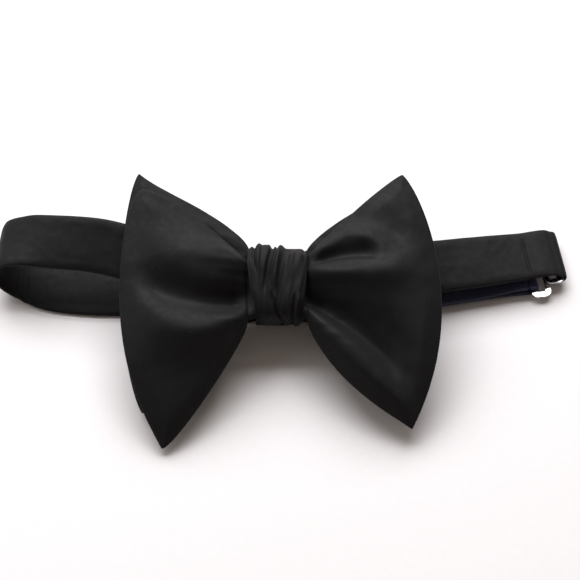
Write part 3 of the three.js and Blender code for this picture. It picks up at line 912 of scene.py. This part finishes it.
keeperDistance = bandRoute.distanceTo(bandStops[13][0])
rollMiddle = bandRoute.distanceTo(bandStops[22][0])
bandLook = {
    "waves": 0.30,
    "fineWaves": 0.10,
    "edgeWave": 0.10,
    "creases": [  # from the roll's middle: distance, slope, depth, width
        (-21, 0.25, 0.10, 2.4), (-12.0, -0.3, 0.12, 2.0), (9.0, -0.45, 0.40, 0.9),
        (13.0, -0.5, 0.45, 0.8), (19.0, -0.3, 0.14, 1.4),
    ],
}


def bandPlace(route, width, halfAt, start, end, look=None):
    def place(along, across, side):
        distance = mix(start, end, (along + 1) / 2)
        point, sideways, outwards = route.at(distance)
        toEdge = min((1 - abs(across)) * width / 2, (1 - abs(along)) * (end - start) / 2)
        half = rolled(toEdge, halfAt(distance), 0.62, 2.6)
        lift, slip = 0.0, 0.0
        if look:
            free = ease(2, 30, distance) * ease(2, 14, abs(distance - keeperDistance))
            lift += look["waves"] * free * grain(distance / 15, across * 0.9, 5)
            slip = look["edgeWave"] * free * grain(distance / 11, 2.5, 1) * abs(across)
            for reach, slope, depth, crease in look["creases"]:
                off = distance - rollMiddle - reach - slope * across * width / 2
                lift -= depth * hill(off, crease) * (0.6 + 0.4 * across)
                lift += 0.5 * depth * hill(off - 1.9 * crease, crease)
            lift += look["fineWaves"] * grain(distance / 3.2, across * 4, 9) * free
        offset = side * half + lift
        return point + sideways * (across * width / 2 + slip) + outwards * offset
    return place


def bandHalf(distance):
    return mix(band["hemHalf"], band["half"], ease(hemLength, hemLength * 1.6, distance))


bm = clothShell(760, 26, (bandLength, band["width"]),
                bandPlace(bandRoute, band["width"], bandHalf, 0, bandLength, bandLook))
piece = makePiece("neckbandCloth", bm, satin, stands=("neckband_cover",))

liningStart = hemLength * 1.7
bm = clothShell(420, 8, (bandLength - liningStart, 17.6),
                bandPlace(bandRoute, 17.2, lambda distance: 0.2, liningStart, bandLength - 1, bandLook))
piece = makePiece("neckbandLining", bm, canvas, stands=("neckband_interlining",))
print("tie: neckband made, %.0f mm long" % bandLength)

lapZ = bandRunZ + band["half"] + ribbon["room"] + gap
ribbonStops = [
    ribbonStop(-ribbon["lap"], lapZ),
    ribbonStop(-0.4 * ribbon["lap"], lapZ),
    ribbonStop(3, lapZ - 0.2),
    ribbonStop(8, ribbonRunZ),
    ribbonStop(24, ribbonRunZ),
    ribbonStop(44, ribbonRunZ),
    ribbonStop(ribbonLength - 14, ribbonRunZ - 0.2),
    closureStop(-5, 0, 0.9),
    *aroundBar(0, 0, closure["z"], hookWrapRadius, (-90, -45, 0, 45, 90)),
    closureStop(-1.6, 0, closure["z"] + hookWrapRadius),
]
wireWrap = []
for degrees in (-90, -135, 180, 135, 90):
    angle = math.radians(degrees)
    wireWrap.append(ribbonStop(slider["place"] + slider["radius"] * math.cos(angle),
                               slider["wireZ"] + slider["radius"] * math.sin(angle)))
sewnEnd = 7  # length that is sewn down behind the slider
aboveSewnEnd = returnRunZ + 2 * ribbon["room"] + gap
returnStops = [
    ribbonStop(slider["place"] + sewnEnd, returnRunZ),
    ribbonStop(slider["place"] + 0.5 * sewnEnd, returnRunZ),
    *wireWrap,
    ribbonStop(slider["place"] + 3, aboveSewnEnd + 0.9),
    ribbonStop(slider["place"] + sewnEnd, aboveSewnEnd + 0.2),
    ribbonStop(slider["place"] + sewnEnd + 4, aboveSewnEnd - 0.8),
    ribbonStop(slider["place"] + sewnEnd + 9, returnRunZ + 0.1),
    ribbonStop(ribbonLength - 18, returnRunZ),
    closureStop(-9, 0, returnRunZ + 0.4),
    closureStop(-4, 0, closure["z"] + hookWrapRadius),
    closureStop(-1.6 - gap, 0, closure["z"] + hookWrapRadius),
]


def makeRibbon(name, stops, body, node, columns):
    route = Route(stops)
    bm = clothShell(columns, 22, (route.length, ribbon["width"]),
                    bandPlace(route, ribbon["width"], lambda distance: ribbon["half"], 0, route.length))
    piece = makePiece(name, bm, navy, body=body, stands=(node,))
    return piece


makeRibbon("adjustingRibbon", ribbonStops, "root", "adjuster_ribbon", 260)
piece = makeRibbon("ribbonReturn", returnStops, None, "ribbon_return", 260)
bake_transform(piece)
print("tie: ribbon made")

seam = {"stitches": 13, "rows": 2, "pitch": 1.08, "rowGap": 0.9, "length": 0.86, "radius": 0.15}


# Rows of stitches across a strip, on its upper face.
def makeStitches(name, node, body, turned):
    low, high = (Vector(corner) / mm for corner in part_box(node))
    middle = (low + high) / 2
    middle.z = low.z - 0.12
    bm = bmesh.new()
    for row in range(seam["rows"]):
        for i in range(seam["stitches"]):
            off = (i - (seam["stitches"] - 1) / 2) * seam["pitch"]
            along = (row - (seam["rows"] - 1) / 2) * seam["rowGap"] + 0.06 * math.sin(i * 7.1 + row)
            place = Matrix.Translation(middle) @ Matrix.Rotation(turned, 4, "Z")
            place = place @ Matrix.Translation((along, off, 0)) @ Matrix.Rotation(math.radians(90), 4, "Z")
            addStitch(bm, seam["length"], seam["radius"], place)
    bmesh.ops.transform(bm, matrix=Matrix.Scale(mm, 4), verts=bm.verts)
    makePiece(name, bm, thread, body=body, stands=(node,))


makeStitches("hemStitches", "hem_stitches", "root", closure["turn"])
makeStitches("lapStitches", "lap_stitches", "root", ribbonTurn)
makeStitches("sliderStitches", "slider_stitches", "slider", ribbonTurn)

metalLook = {"edge": 0.16, "steps": 2, "sharp": math.radians(35)}


def makeMetal(name, node, body):
    bm = bmesh.new()
    bm.from_mesh(bpy.data.objects[node].data)
    bmesh.ops.remove_doubles(bm, verts=bm.verts, dist=1e-6)
    bmesh.ops.dissolve_limit(bm, angle_limit=math.radians(1), verts=bm.verts, edges=bm.edges)
    corners = [edge for edge in bm.edges
               if len(edge.link_faces) == 2 and edge.calc_face_angle(0) > metalLook["sharp"]]
    bmesh.ops.bevel(bm, geom=corners, offset=metalLook["edge"] * mm, offset_type="OFFSET",
                    segments=metalLook["steps"], profile=0.5, material=-1, affect="EDGES", clamp_overlap=True)
    bmesh.ops.triangulate(bm, faces=bm.faces)
    makePiece(name, bm, nickel, body=body, stands=(node,), smooth=False)


makeMetal("sliderFrame", "slider", "slider")
makeMetal("hookPlate", "hook", "hook")
makeMetal("eyePlate", "eye", "eye")
print("tie: metal made")
